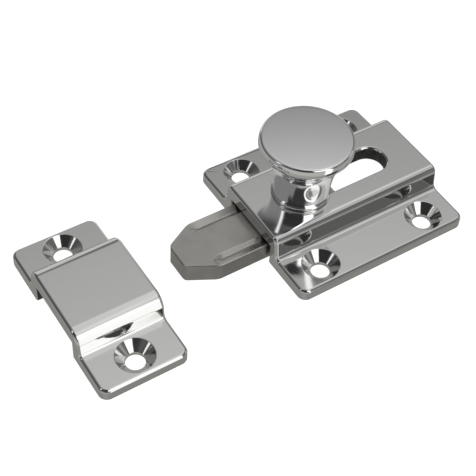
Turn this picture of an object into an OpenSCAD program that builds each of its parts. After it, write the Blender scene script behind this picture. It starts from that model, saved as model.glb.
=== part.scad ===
// Toggle bolt latch: a sliding bolt worked by a mushroom knob in a cast case,
// and the loose bridge strike that the bolt shoots into.
// Frame: the middle of the case's four screws on the face that meets the door,
// +X the way the knob is drawn back, +Z out of the door.

/* [Case] */
// Length of the case along the bolt's travel
case_l = 44; // [43:0.5:50]
// Width of the case across the bolt
case_w = 42; // [41:0.5:50]
// Thickness of the screw flanges
flange_t = 3.2; // [2.6:0.1:4]
// Corner radius of the case and the strike seen from above
corner_r = 2; // [1:0.25:3]
// Height of the housing's top above the door
housing_z = 8.8; // [8.4:0.1:10]
// Width of the housing across its top
housing_top_w = 19.3; // [18.6:0.1:20]
// Width of the housing where it meets the flanges
housing_foot_w = 20.7; // [20.1:0.1:21.5]
// Radius along the housing's two long top edges
housing_r = 1.8; // [0.3:0.1:2]
// Thickness of the wall that closes the channel behind the bolt
end_wall = 2.6; // [1.5:0.1:2.8]

/* [Bolt] */
// Width of the bolt
bolt_w = 13.7; // [13:0.1:14.1]
// Thickness of the bolt
bolt_t = 4.8; // [4.6:0.1:4.9]
// Gap between the bolt and the door, and between the bolt and the channel's roof
bolt_play = 0.2; // [0.15:0.05:0.3]
// Gap between the bolt and each side wall of the channel
side_play = 0.85; // [0.8:0.05:1]
// How far the bolt stands out of the case when it is thrown
throw = 18.6; // [14:0.1:18.6]
// Length of the tip's bevels along the travel
tip_l = 6.6; // [4:0.1:8]
// Width of the blunt end of the tip
tip_flat = 6.7; // [4:0.1:9]
// Width of the two shallow flutes along the bolt's top edges
flute_w = 2.8; // [1.6:0.1:3]
// Depth of the flutes
flute_d = 0.6; // [0.3:0.05:0.6]

/* [Knob] */
// Diameter of the knob's cap
cap_d = 20.6; // [19:0.1:22]
// Diameter of the neck just above its foot
neck_d = 12.6; // [11:0.1:13]
// Diameter of the bead around the knob's foot
foot_d = 13.2; // [13:0.1:14]
// Height of the knob from its foot to the edge of its cap
knob_h = 15.8; // [14:0.1:18]
// Rise of the cap's shallow dome
dome_h = 0.2; // [0.1:0.05:0.4]
// How far the knob stands off the middle of the case when the bolt is thrown
knob_back = 9; // [8:0.1:9.2]

/* [Fixings] */
// Diameter of the countersunk screws' clearance holes
hole_d = 4.2; // [3.5:0.1:4.5]
// Diameter of the countersinks at the surface
sink_d = 8.4; // [7.4:0.1:8.8]
// Spacing of the case screws along the travel
case_hole_x = 28; // [26:0.5:32]
// Spacing of the case and strike screws across the travel
hole_y = 32; // [31:0.5:32]
// Diameter of the machine screw that holds the knob on the bolt
knob_screw_d = 4; // [3.5:0.1:4]
// Outside diameter of the spacer sleeve that runs in the slot
sleeve_d = 7; // [6.6:0.1:7.2]
// Thickness of the slide washer under the knob
washer_t = 0.38; // [0.3:0.02:0.38]

/* [Friction spring] */
// Thickness of the leaf
leaf_t = 0.4; // [0.3:0.05:0.45]
// Length of the leaf
leaf_l = 18; // [14:0.5:18]
// Height of the leaf
leaf_w = 3.2; // [2.4:0.1:3.3]

/* [Strike] */
// Width of the strike along the travel
strike_w = 20; // [18:0.5:24]
// Length of the strike across the travel
strike_l = 42; // [41:0.5:46]
// Height of the bridge's top above the frame
bridge_z = 8.8; // [8.4:0.1:10]
// Width of the bridge across its top
bridge_top_w = 20.8; // [20:0.1:21]
// Width of the bridge where it meets the feet
bridge_foot_w = 21.9; // [21.4:0.1:22.4]
// Radius over the bridge's shoulders
bridge_r = 3.4; // [1.5:0.1:3.6]
// Width of the tunnel under the bridge
tunnel_w = 16.4; // [15.8:0.1:17]
// Height of the tunnel under the bridge
tunnel_z = 5.2; // [5.1:0.05:5.6]
// Distance from the middle of the case to the middle of the loose strike
strike_off = 59.8; // [56:0.1:80]
// How far the loose strike lies to one side of the bolt's line
strike_side = 0.6; // [0:0.1:1]

/* [Hidden] */

$fn = 96;
eps = 0.5;            // overshoot of every cutter
case_hl = case_l / 2;
channel_w = bolt_w + 2 * side_play;
channel_z = bolt_t + 2 * bolt_play;
channel_end = case_hl - end_wall;
slot_play = 0.2;      // sleeve to slot, all round
slot_r = sleeve_d / 2 + slot_play;
slot_spare = 0.5;     // travel left in the slot when the bolt is drawn back
slot_far = throw - knob_back + slot_spare;

bolt_low = bolt_play;
bolt_top = bolt_low + bolt_t;
bolt_tip = -case_hl - throw;
bolt_tail = 0;
tip_edge_r = 0.5;     // softened upright edges of the bolt's tip
flute_r = (flute_w * flute_w / 4 + flute_d * flute_d) / 2 / flute_d;
flute_inset = 1.6;    // from the bolt's side to the middle of a flute
flute_gap = 1.5;      // from the end of the tip's bevels to a flute
flute_y = bolt_w / 2 - flute_inset;
flute_start = bolt_tip + tip_l + flute_gap;

foot_z = housing_z + 0.4;
skirt_z = housing_z + 0.1;    // the bead's lower edge, just clear of the case
skirt_t = 0.3;        // wall of the bead around the washer's recess
bead_bevel = 0.15;    // bevel on the bead's lower edge
bead_top_z = foot_z + 0.4;
washer_od = 12.2;
washer_play = 0.1;    // sleeve to washer
neck_z = foot_z + 1;
cap_z = foot_z + knob_h;
rim_h = 2;            // height of the cap's rolled rim
rim_r = 3.2;          // radius of the rim's crowned side
rim_turn = 22;        // turn of the crowned side above its widest point
cap_edge = 0.7;       // radius between the crowned side and the dome
neck_linear = 0.2;    // share of the neck's flare that is a plain cone
neck_steps = 16;
dome_steps = 6;

screw_r = knob_screw_d / 2;
screw_head_r = 3.7;
screw_head_h = screw_head_r - screw_r;
screw_inset = 0.1;    // screw's head below the bolt's underside
screw_low = bolt_low + screw_inset;
screw_grip = 8.6;     // length of thread in the knob
bore_spare = 0.6;     // depth of the knob's bore past the screw
screw_play = 0.15;
thread_play = 0.05;
head_play = 0.05;

leaf_drop = 0.1;      // how far the leaf sits below the middle of the bolt's side
leaf_h0 = bolt_low + (bolt_t - leaf_w) / 2 - leaf_drop;
leaf_pocket_d = 0.5;
leaf_pocket_gap = 0.2;
leaf_seat_gap = 0.02; // leaf's ends to the pocket's floor
leaf_wall_gap = 0.05; // leaf's crown to the channel's wall
leaf_tip_y = bolt_w / 2 - leaf_pocket_d + leaf_seat_gap;
leaf_crown_y = channel_w / 2 - leaf_wall_gap;
leaf_rise = leaf_crown_y - leaf_t - leaf_tip_y;
leaf_r = (leaf_l * leaf_l / 4 + leaf_rise * leaf_rise) / 2 / leaf_rise;
leaf_mid = -11.5;

// A flat plate with rounded corners, its underside on the frame
module rounded_plate(lx, ly, h, r) {
    linear_extrude(h) union() {
        square([lx - 2 * r, ly], center = true);
        square([lx, ly - 2 * r], center = true);
        for (sx = [-1, 1], sy = [-1, 1])
            translate([sx * (lx / 2 - r), sy * (ly / 2 - r)]) circle(r);
    }
}

// Cutter for one countersunk hole whose mouth is at height z
module countersunk_hole(z) {
    cone_h = (sink_d - hole_d) / 2;
    translate([0, 0, -eps]) cylinder(d = hole_d, h = z + eps);
    translate([0, 0, z - cone_h]) cylinder(d1 = hole_d, d2 = sink_d, h = cone_h);
    translate([0, 0, z]) cylinder(d = sink_d, h = eps);
}

// Outline of a slot between two centres on the X axis
module stadium(x0, x1, r) {
    translate([x0, -r]) square([x1 - x0, 2 * r]);
    translate([x0, 0]) circle(r);
    translate([x1, 0]) circle(r);
}

// Section of a raised part: sloping sides, a flat top and two rounded edges
module raised_section(foot_w, top_w, top_z, r) {
    slope = atan((foot_w - top_w) / 2 / (top_z - flange_t));
    round_y = top_w / 2 - r * tan(45 - slope / 2);
    round_z = top_z - r;
    side_y = round_y + r * cos(slope);
    side_z = round_z + r * sin(slope);
    polygon([
        [-foot_w / 2, flange_t],
        [-foot_w / 2, flange_t - eps],
        [foot_w / 2, flange_t - eps],
        [foot_w / 2, flange_t],
        [side_y, side_z],
        [round_y, top_z],
        [-round_y, top_z],
        [-side_y, side_z],
    ]);
    for (s = [-1, 1])
        translate([s * round_y, round_z]) circle(r);
}

module latch_case() {
    color("gainsboro") difference() {
        union() {
            rounded_plate(case_l, case_w, flange_t, corner_r);
            intersection() {
                translate([-case_hl, 0, 0]) rotate([90, 0, 90])
                    linear_extrude(case_l)
                        raised_section(housing_foot_w, housing_top_w, housing_z, housing_r);
                rounded_plate(case_l, housing_foot_w, housing_z + eps, corner_r);
            }
        }
        translate([-case_hl - eps, -channel_w / 2, -eps])
            cube([channel_end + case_hl + eps, channel_w, channel_z + eps]);
        linear_extrude(housing_z + eps) stadium(-knob_back, slot_far, slot_r);
        for (sx = [-1, 1], sy = [-1, 1])
            translate([sx * case_hole_x / 2, sy * hole_y / 2, 0]) countersunk_hole(flange_t);
    }
}

// Plan of the bolt: a bar whose front end is bevelled on both sides
module bolt_plan() {
    polygon([
        [bolt_tail, -bolt_w / 2],
        [bolt_tail, bolt_w / 2],
        [bolt_tip + tip_l, bolt_w / 2],
        [bolt_tip + tip_edge_r, tip_flat / 2],
        [bolt_tip, tip_flat / 2 - tip_edge_r],
        [bolt_tip, -tip_flat / 2 + tip_edge_r],
        [bolt_tip + tip_edge_r, -tip_flat / 2],
        [bolt_tip + tip_l, -bolt_w / 2],
    ]);
}

// Cutter for one flute, with a round run-out at the tip end
module flute() {
    translate([flute_start, 0, 0]) sphere(flute_r);
    translate([flute_start, 0, 0]) rotate([0, 90, 0])
        cylinder(r = flute_r, h = bolt_tail - flute_start + eps);
}

module sliding_bolt() {
    color("darkgray") difference() {
        translate([0, 0, bolt_low]) linear_extrude(bolt_t) bolt_plan();
        for (s = [-1, 1])
            translate([0, s * flute_y, bolt_top + flute_r - flute_d]) flute();
        translate([-knob_back, 0, 0]) cylinder(r = screw_r + screw_play, h = bolt_top + eps);
        translate([-knob_back, 0, screw_low]) cylinder(
            r1 = screw_head_r + head_play, r2 = screw_r + head_play, h = screw_head_h);
        translate([-knob_back, 0, bolt_low - eps])
            cylinder(r = screw_head_r + head_play, h = eps + screw_low - bolt_low);
        translate([leaf_mid - leaf_l / 2 - leaf_pocket_gap, bolt_w / 2 - leaf_pocket_d,
                   leaf_h0 - leaf_pocket_gap])
            cube([leaf_l + 2 * leaf_pocket_gap, leaf_pocket_d + eps,
                  leaf_w + 2 * leaf_pocket_gap]);
    }
}

// Radius of the neck at a share t of the way from its foot to the cap
function neck_r(t) = neck_d / 2
    + (cap_d - neck_d) / 2 * (neck_linear * t + (1 - neck_linear) * pow(t, 3));

module knob() {
    rim_x = cap_d / 2 - rim_r;
    edge_x = rim_x + (rim_r - cap_edge) * cos(rim_turn);
    edge_z = cap_z - cap_edge;
    wide_z = edge_z - (rim_r - cap_edge) * sin(rim_turn);
    under = asin((wide_z - (cap_z - rim_h)) / rim_r);
    neck = [for (i = [0 : neck_steps])
        [neck_r(i / neck_steps), neck_z + (cap_z - rim_h - neck_z) * i / neck_steps]];
    side = [for (a = [-under, 0, rim_turn / 2])
        [rim_x + rim_r * cos(a), wide_z + rim_r * sin(a)]];
    edge = [for (a = [rim_turn : (90 - rim_turn) / 4 : 90])
        [edge_x + cap_edge * cos(a), edge_z + cap_edge * sin(a)]];
    dome = [for (i = [1 : dome_steps])
        [edge_x * (1 - i / dome_steps), cap_z + dome_h * (1 - pow(1 - i / dome_steps, 2))]];
    foot = [[0, foot_z], [foot_d / 2 - skirt_t, foot_z], [foot_d / 2 - skirt_t, skirt_z],
            [foot_d / 2 - bead_bevel, skirt_z], [foot_d / 2, skirt_z + bead_bevel],
            [foot_d / 2, bead_top_z]];
    color("lightgray") translate([-knob_back, 0, 0]) difference() {
        rotate_extrude() polygon(concat(foot, neck, side, edge, dome));
        translate([0, 0, foot_z - eps])
            cylinder(r = screw_r + thread_play, h = screw_grip + bore_spare + eps);
    }
}

module knob_screw() {
    slot_w = 1;
    slot_d = 0.8;
    color("silver") translate([-knob_back, 0, 0]) difference() {
        union() {
            translate([0, 0, screw_low])
                cylinder(r1 = screw_head_r, r2 = screw_r, h = screw_head_h);
            translate([0, 0, screw_low]) cylinder(r = screw_r, h = foot_z + screw_grip - screw_low);
        }
        translate([-screw_head_r - eps, -slot_w / 2, screw_low - eps])
            cube([2 * screw_head_r + 2 * eps, slot_w, slot_d + eps]);
    }
}

module slot_sleeve() {
    color("goldenrod") translate([-knob_back, 0, bolt_top]) difference() {
        cylinder(d = sleeve_d, h = foot_z - bolt_top);
        translate([0, 0, -eps])
            cylinder(r = screw_r + screw_play, h = foot_z - bolt_top + 2 * eps);
    }
}

module slide_washer() {
    color("ivory") translate([-knob_back, 0, foot_z - washer_t]) difference() {
        cylinder(d = washer_od, h = washer_t);
        translate([0, 0, -eps]) cylinder(r = sleeve_d / 2 + washer_play, h = washer_t + 2 * eps);
    }
}

module friction_spring() {
    color("dimgray") intersection() {
        translate([leaf_mid, leaf_crown_y - leaf_t - leaf_r, leaf_h0]) difference() {
            cylinder(r = leaf_r + leaf_t, h = leaf_w, $fn = 360);
            translate([0, 0, -eps]) cylinder(r = leaf_r, h = leaf_w + 2 * eps, $fn = 360);
        }
        translate([leaf_mid - leaf_l / 2, leaf_tip_y - eps, leaf_h0])
            cube([leaf_l, leaf_crown_y - leaf_tip_y + 2 * eps, leaf_w]);
    }
}

module strike() {
    color("gainsboro") translate([-strike_off, -strike_side, 0]) difference() {
        union() {
            rounded_plate(strike_w, strike_l, flange_t, corner_r);
            translate([-strike_w / 2, 0, 0]) rotate([90, 0, 90])
                linear_extrude(strike_w)
                    raised_section(bridge_foot_w, bridge_top_w, bridge_z, bridge_r);
        }
        translate([-strike_w / 2 - eps, -tunnel_w / 2, -eps])
            cube([strike_w + 2 * eps, tunnel_w, tunnel_z + eps]);
        for (s = [-1, 1])
            translate([0, s * hole_y / 2, 0]) countersunk_hole(flange_t);
    }
}

latch_case();
sliding_bolt();
knob();
knob_screw();
slot_sleeve();
slide_washer();
friction_spring();
strike();
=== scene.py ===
"""Toggle bolt latch: looks for a chrome case, its sliding bolt and knob, and the loose strike.

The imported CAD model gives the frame. Each sub-assembly below takes its place and its main
sizes from that model and rebuilds the visible pieces with rounded edges, flutes, threads and
finishes. Lengths in dataclass fields are millimetres unless a name says otherwise.
"""

from __future__ import annotations

import logging
import math
from dataclasses import dataclass, field
from enum import Enum
from typing import Callable, Iterable, Mapping, Sequence, Union

import bmesh
import bpy
from mathutils import Matrix, Vector

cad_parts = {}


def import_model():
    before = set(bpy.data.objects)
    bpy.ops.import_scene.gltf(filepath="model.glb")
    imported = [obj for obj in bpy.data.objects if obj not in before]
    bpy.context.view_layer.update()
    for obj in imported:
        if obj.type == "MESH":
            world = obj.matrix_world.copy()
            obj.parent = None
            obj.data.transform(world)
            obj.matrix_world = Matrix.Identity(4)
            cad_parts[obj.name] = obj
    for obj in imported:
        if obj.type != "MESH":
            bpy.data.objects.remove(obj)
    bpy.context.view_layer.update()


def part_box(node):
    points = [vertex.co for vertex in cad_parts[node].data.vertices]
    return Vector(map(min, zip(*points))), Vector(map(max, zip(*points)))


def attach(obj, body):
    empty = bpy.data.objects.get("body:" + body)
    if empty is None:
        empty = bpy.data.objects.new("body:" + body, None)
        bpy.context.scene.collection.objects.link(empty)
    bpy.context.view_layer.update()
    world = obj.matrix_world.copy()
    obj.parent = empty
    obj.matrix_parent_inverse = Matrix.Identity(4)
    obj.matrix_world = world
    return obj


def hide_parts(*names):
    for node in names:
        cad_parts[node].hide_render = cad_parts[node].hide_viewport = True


LOG = logging.getLogger("latch")
MM = 0.001
ROUND_PROFILE = 0.4  # a little flatter than a quarter circle, as buffing leaves an edge

# Lengths in millimetres.
OVER = 1.0  # how far a cutter reaches past the solid that it cuts
SLACK = 0.01  # slack when a place is compared with a size
BACK_SKIN = 0.05  # faces lower than this belong to the back
RAW_EDGE_R = 0.12  # edges that are only deburred
MERGE = 0.0005  # points closer than this are one point

# Segments of the arcs in outlines.
COVE_STEPS = 8
CORNER_STEPS = 10
TURNED_STEPS = 12
SHOULDER_STEPS = 16
SLOT_STEPS = 32

Point2 = tuple[float, float]
Point3 = tuple[float, float, float]
Number = Union[int, float]


# --------------------------------------------------------------------------- node graphs


class Signal:
    """A node's output socket that takes part in Python arithmetic."""

    def __init__(self, graph: "Graph", socket: bpy.types.NodeSocket) -> None:
        """Wrap a socket.

        Args:
            graph: The graph that the socket's node is in.
            socket: The output socket.
        """
        self.graph = graph
        self.socket = socket

    def _math(self, operation: str, *values: Union["Signal", Number]) -> "Signal":
        """Add a Math node over this graph.

        Args:
            operation: The Math node's operation.
            values: Its inputs in order.

        Returns:
            The node's result.
        """
        inputs = dict(enumerate(values))
        return self.graph.add("ShaderNodeMath", {"operation": operation}, inputs)

    def __add__(self, other: Union["Signal", Number]) -> "Signal":
        """Return self + other."""
        return self._math("ADD", self, other)

    def __radd__(self, other: Number) -> "Signal":
        """Return other + self."""
        return self._math("ADD", other, self)

    def __sub__(self, other: Union["Signal", Number]) -> "Signal":
        """Return self - other."""
        return self._math("SUBTRACT", self, other)

    def __rsub__(self, other: Number) -> "Signal":
        """Return other - self."""
        return self._math("SUBTRACT", other, self)

    def __mul__(self, other: Union["Signal", Number]) -> "Signal":
        """Return self * other."""
        return self._math("MULTIPLY", self, other)

    def __rmul__(self, other: Number) -> "Signal":
        """Return other * self."""
        return self._math("MULTIPLY", other, self)

    def __truediv__(self, other: Union["Signal", Number]) -> "Signal":
        """Return self / other."""
        return self._math("DIVIDE", self, other)

    def __abs__(self) -> "Signal":
        """Return the absolute value."""
        return self._math("ABSOLUTE", self)

    def call(self, operation: str, *others: Union["Signal", Number]) -> "Signal":
        """Apply a named Math operation to this value and others."""
        return self._math(operation, self, *others)


Feed = Union[Signal, Number, Sequence[float], bpy.types.ID, bool, str]


class Graph:
    """A node tree that is filled through one method."""

    def __init__(self, tree: bpy.types.NodeTree) -> None:
        """Empty the tree and keep it.

        Args:
            tree: The tree to fill.
        """
        tree.nodes.clear()
        self.tree = tree

    def add(
        self,
        kind: str,
        settings: Mapping[str, object] | None = None,
        inputs: Mapping[Union[str, int], Feed] | None = None,
        output: Union[str, int] = 0,
    ) -> Signal:
        """Add a node.

        Args:
            kind: The node's type.
            settings: Its properties; "stops" holds a ramp's (place, colour) pairs.
            inputs: Values or links of its input sockets, by name or number.
            output: The output to return, by name or number.

        Returns:
            The wanted output, or the node's first input where it has no output.
        """
        node = self.tree.nodes.new(kind)
        for name, value in (settings or {}).items():
            if name == "stops":
                self._set_stops(node.color_ramp, value)
            else:
                setattr(node, name, value)
        for key, value in (inputs or {}).items():
            if isinstance(value, Signal):
                self.tree.links.new(value.socket, node.inputs[key])
            else:
                node.inputs[key].default_value = value
        sockets = node.outputs if len(node.outputs) else node.inputs
        return Signal(self, sockets[output])

    @staticmethod
    def _set_stops(ramp: bpy.types.ColorRamp, stops: Sequence[tuple[float, Point3]]) -> None:
        """Give a colour ramp its stops.

        Args:
            ramp: The ramp to set.
            stops: Pairs of place and linear colour, in rising order.
        """
        while len(ramp.elements) > 2:
            ramp.elements.remove(ramp.elements[-1])
        for i, (place, colour) in enumerate(stops):
            element = ramp.elements[i] if i < 2 else ramp.elements.new(place)
            element.position = place
            element.color = (*colour, 1.0)


def spot(graph: Graph, scale: float, detail: float = 2.0, seed: float = 0.0) -> Signal:
    """Return 3-D noise on object coordinates.

    Args:
        graph: The material's graph.
        scale: Features per metre.
        detail: Octaves of the noise.
        seed: Shift of the pattern, in metres.

    Returns:
        The noise value, 0 to 1.
    """
    coords = graph.add("ShaderNodeTexCoord", output="Object")
    place = graph.add("ShaderNodeMapping", inputs={"Vector": coords, "Location": (seed, seed, seed)})
    return graph.add("ShaderNodeTexNoise", {"noise_dimensions": "3D"},
                     {"Vector": place, "Scale": scale, "Detail": detail, "Roughness": 0.55})


def blank(name: str) -> tuple[bpy.types.Material, Graph]:
    """Return a new material and the empty graph that its nodes go in."""
    material = bpy.data.materials.new(name)
    material.use_nodes = True
    return material, Graph(material.node_tree)


def cover(graph: Graph, inputs: Mapping[Union[str, int], Feed]) -> None:
    """End a material's graph in a Principled shader with the given inputs."""
    shader = graph.add("ShaderNodeBsdfPrincipled", inputs=inputs)
    graph.add("ShaderNodeOutputMaterial", inputs={"Surface": shader})


def relief(graph: Graph, height: Signal, depth_mm: float, under: Signal | None = None) -> Signal:
    """Return the normal of a fine relief.

    Args:
        graph: The material's graph.
        height: The relief, 0 to 1.
        depth_mm: Its depth in millimetres.
        under: The normal that it lies on, if that isn't the surface's own.

    Returns:
        The normal.
    """
    inputs: dict[Union[str, int], Feed] = {
        "Strength": 1.0, "Distance": depth_mm * MM, "Height": height}
    if under is not None:
        inputs["Normal"] = under
    return graph.add("ShaderNodeBump", inputs=inputs)


def mottle(graph: Graph, share: Signal, dark: Point3, light: Point3) -> Signal:
    """Return a colour between dark and light that follows a noise."""
    return graph.add("ShaderNodeValToRGB", {"stops": [(0.3, dark), (0.7, light)]}, {"Fac": share})


# ------------------------------------------------------------------------------ finishes


@dataclass(frozen=True)
class PolishedPlate:
    """Bright plate over a buffed casting.

    The reflection wavers a little over flat faces and the buffing leaves fine lines.

    Attributes:
        name: The material's name.
        tint: Colour of its reflections.
        roughness: Middle value of its roughness.
        haze_per_m: Patches of duller plate in a metre.
        waver_mm: Depth of the waver.
        waver_per_m: Waves in a metre.
        line_mm: Depth of the buffing lines.
        line_per_m: Size of the lines' pattern.
        line_detail: Octaves of the lines' pattern.
        line_dir: How much the lines are drawn out along x, y and z.
    """

    name: str
    tint: Point3 = (0.81, 0.81, 0.80)
    roughness: float = 0.07
    haze_per_m: float = 420.0
    waver_mm: float = 0.012
    waver_per_m: float = 160.0
    line_mm: float = 0.0004
    line_per_m: float = 900.0
    line_detail: float = 3.0
    line_dir: Point3 = (14.0, 1.0, 1.0)

    def make(self) -> bpy.types.Material:
        """Return the material."""
        material, graph = blank(self.name)
        coords = graph.add("ShaderNodeTexCoord", output="Object")
        along = graph.add("ShaderNodeMapping", inputs={
            "Vector": coords, "Scale": tuple(self.line_per_m / s for s in self.line_dir)})
        lines = graph.add("ShaderNodeTexNoise", {"noise_dimensions": "3D"},
                          {"Vector": along, "Scale": 6.0, "Detail": self.line_detail})
        haze = spot(graph, self.haze_per_m, 3.0, 0.03)
        rough = self.roughness * (0.8 + 0.5 * haze) + 0.02 * lines
        waver = relief(graph, spot(graph, self.waver_per_m, 1.0), self.waver_mm)
        cover(graph, {"Base Color": (*self.tint, 1.0), "Metallic": 1.0, "Roughness": rough,
                      "Normal": relief(graph, lines, self.line_mm, waver)})
        return material


@dataclass(frozen=True)
class SatinCasting:
    """Dull nickel-grey casting with a fine grain and faint brown tones.

    Attributes:
        name: The material's name.
        light: Colour of its light patches.
        dark: Colour of its dark patches.
        roughness: Lowest roughness.
        cloud_per_m: Patches in a metre.
        grain_per_m: Grains in a metre.
        grain_mm: Depth of the grain.
    """

    name: str
    light: Point3 = (0.58, 0.565, 0.54)
    dark: Point3 = (0.50, 0.485, 0.46)
    roughness: float = 0.20
    cloud_per_m: float = 260.0
    grain_per_m: float = 5200.0
    grain_mm: float = 0.006

    def make(self) -> bpy.types.Material:
        """Return the material."""
        material, graph = blank(self.name)
        cloud = spot(graph, self.cloud_per_m, 4.0, 0.1)
        grain = spot(graph, self.grain_per_m, 3.0)
        cover(graph, {"Base Color": mottle(graph, cloud, self.dark, self.light), "Metallic": 1.0,
                      "Roughness": self.roughness + 0.12 * cloud + 0.06 * grain,
                      "Normal": relief(graph, grain + 1.5 * cloud, self.grain_mm)})
        return material


@dataclass(frozen=True)
class TurnedMetal:
    """Plain metal with the fine rings that a lathe or a die leaves around a vertical axis.

    Attributes:
        name: The material's name.
        tint: Colour of its reflections.
        roughness: Lowest roughness.
        ring_per_m: Rings in a metre of height.
        ring_mm: Depth of the rings.
    """

    name: str
    tint: Point3
    roughness: float
    ring_per_m: float = 9000.0
    ring_mm: float = 0.002

    def make(self) -> bpy.types.Material:
        """Return the material."""
        material, graph = blank(self.name)
        coords = graph.add("ShaderNodeTexCoord", output="Object")
        rings = graph.add("ShaderNodeMapping", inputs={
            "Vector": coords, "Scale": (0.05, 0.05, 1.0)})
        ring = graph.add("ShaderNodeTexNoise", {"noise_dimensions": "3D"},
                         {"Vector": rings, "Scale": self.ring_per_m, "Detail": 2.0})
        haze = spot(graph, 700.0, 3.0)
        cover(graph, {"Base Color": (*self.tint, 1.0), "Metallic": 1.0,
                      "Roughness": self.roughness + 0.12 * haze,
                      "Normal": relief(graph, ring, self.ring_mm)})
        return material


@dataclass(frozen=True)
class PaintedRecessShade:
    """Painted shade for the channel, slot and tunnel walls: a near-black, dull metal, mottled by
    noise, that stands in for the shade in these recesses.
    """

    name: str
    light: Point3 = (0.13, 0.13, 0.125)
    dark: Point3 = (0.05, 0.05, 0.048)
    cloud_per_m: float = 500.0
    grain_per_m: float = 3500.0
    grain_mm: float = 0.02

    def make(self) -> bpy.types.Material:
        """Return the material."""
        material, graph = blank(self.name)
        cloud = spot(graph, self.cloud_per_m, 4.0, 0.2)
        grain = spot(graph, self.grain_per_m, 4.0)
        # The near-black colour is painted shade for the recesses, not the metal's own tone.
        cover(graph, {"Base Color": mottle(graph, cloud, self.dark, self.light), "Metallic": 0.8,
                      "Roughness": 0.4 + 0.2 * cloud,
                      "Normal": relief(graph, grain, self.grain_mm)})
        return material


@dataclass(frozen=True)
class NaturalNylon:
    """Milky plastic with a slightly mottled, waxy surface."""

    name: str
    light: Point3 = (0.80, 0.77, 0.69)
    dark: Point3 = (0.70, 0.66, 0.57)
    cloud_per_m: float = 600.0
    grain_per_m: float = 4000.0
    grain_mm: float = 0.005

    def make(self) -> bpy.types.Material:
        """Return the material."""
        material, graph = blank(self.name)
        cloud = spot(graph, self.cloud_per_m, 3.0)
        grain = spot(graph, self.grain_per_m)
        cover(graph, {"Base Color": mottle(graph, cloud, self.dark, self.light),
                      "Roughness": 0.4 + 0.15 * cloud,
                      "Normal": relief(graph, grain, self.grain_mm),
                      "Subsurface Weight": 0.1, "IOR": 1.53})
        return material


# ----------------------------------------------------------------------------- mesh work


def arc(centre: Point2, radius: float, start: float, end: float, steps: int) -> list[Point2]:
    """Return points along an arc.

    Args:
        centre: The arc's centre.
        radius: Its radius.
        start: First angle in degrees.
        end: Last angle in degrees.
        steps: Number of segments.

    Returns:
        steps + 1 points from start to end.
    """
    turns = (math.radians(start + (end - start) * i / steps) for i in range(steps + 1))
    return [(centre[0] + radius * math.cos(t), centre[1] + radius * math.sin(t)) for t in turns]


def round_rectangle(width: float, depth: float, radius: float, steps: int) -> list[Point2]:
    """Return the outline of a rectangle with round corners, anticlockwise about the origin."""
    x, y = width / 2 - radius, depth / 2 - radius
    corners = ((x, y, 0), (-x, y, 90), (-x, -y, 180), (x, -y, 270))
    return [p for cx, cy, a in corners for p in arc((cx, cy), radius, a, a + 90, steps)]


def new_object(name: str, mesh: bpy.types.Mesh) -> bpy.types.Object:
    """Link a mesh into the scene under a name and return its object."""
    thing = bpy.data.objects.new(name, mesh)
    bpy.context.scene.collection.objects.link(thing)
    return thing


def prism(name: str, outline: Sequence[Point2], low: float, high: float,
          place: Callable[[float, float, float], Point3], steps: int = 1) -> bpy.types.Object:
    """Extrude an outline into a closed solid.

    Args:
        name: The object's name.
        outline: The section's points in order, in millimetres.
        low: First level along the extrusion.
        high: Last level along the extrusion.
        place: Turns (u, v, level) into x, y, z in millimetres.
        steps: Number of lengths that the extrusion is made in.

    Returns:
        The solid, in metres.
    """
    shape = bmesh.new()
    levels = [low + (high - low) * i / steps for i in range(steps + 1)]
    rings = [[shape.verts.new(Vector(place(u, v, level)) * MM) for u, v in outline]
             for level in levels]
    count = len(outline)
    for ring, after in zip(rings, rings[1:]):
        for i in range(count):
            j = (i + 1) % count
            shape.faces.new((ring[i], ring[j], after[j], after[i]))
    shape.faces.new(rings[0][::-1])
    shape.faces.new(rings[-1])
    bmesh.ops.recalc_face_normals(shape, faces=shape.faces)
    mesh = bpy.data.meshes.new(name)
    shape.to_mesh(mesh)
    shape.free()
    return new_object(name, mesh)


def upright(u: float, v: float, level: float) -> Point3:
    """Place a plan outline: u and v are x and y, the extrusion is upwards."""
    return (u, v, level)


def lengthwise(u: float, v: float, level: float) -> Point3:
    """Place a cross-section: u and v are y and z, the extrusion is along x."""
    return (level, u, v)


def settle(thing: bpy.types.Object) -> None:
    """Turn an object's live modifiers into its mesh.

    Args:
        thing: The object; its modifiers are removed.
    """
    graph = bpy.context.evaluated_depsgraph_get()
    graph.update()
    mesh = bpy.data.meshes.new_from_object(thing.evaluated_get(graph), depsgraph=graph)
    thing.modifiers.clear()
    old = thing.data
    thing.data = mesh
    bpy.data.meshes.remove(old)
    mesh.name = thing.name


class Cut(Enum):
    """How one solid acts on another."""

    TAKE = "DIFFERENCE"
    KEEP = "INTERSECT"


def carve(thing: bpy.types.Object, cutters: Iterable[bpy.types.Object], how: Cut = Cut.TAKE) -> None:
    """Apply cutters to a solid and delete them.

    Args:
        thing: The solid that is changed.
        cutters: The solids that act on it.
        how: What they do to it.
    """
    for cutter in cutters:
        step = thing.modifiers.new("carve", "BOOLEAN")
        step.operation = how.value
        step.solver = "EXACT"
        step.object = cutter
        settle(thing)
        mesh = cutter.data
        bpy.data.objects.remove(cutter)
        bpy.data.meshes.remove(mesh)


def dress(thing: bpy.types.Object, finish: bpy.types.Material,
          inner: bpy.types.Material | None = None,
          is_inner: Callable[[Vector], bool] | None = None) -> None:
    """Give a piece its finish, and a second material, the painted shade of a recess, to the faces
    inside it.

    Args:
        thing: The piece.
        finish: The finish of the outside.
        inner: The painted shade for the inside, if it has one.
        is_inner: Tells from a face's middle, in millimetres, whether it is inside.
    """
    thing.data.materials.clear()
    thing.data.materials.append(finish)
    if inner:
        thing.data.materials.append(inner)
    for face in thing.data.polygons:
        face.material_index = int(bool(is_inner and is_inner(face.center / MM)))


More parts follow.
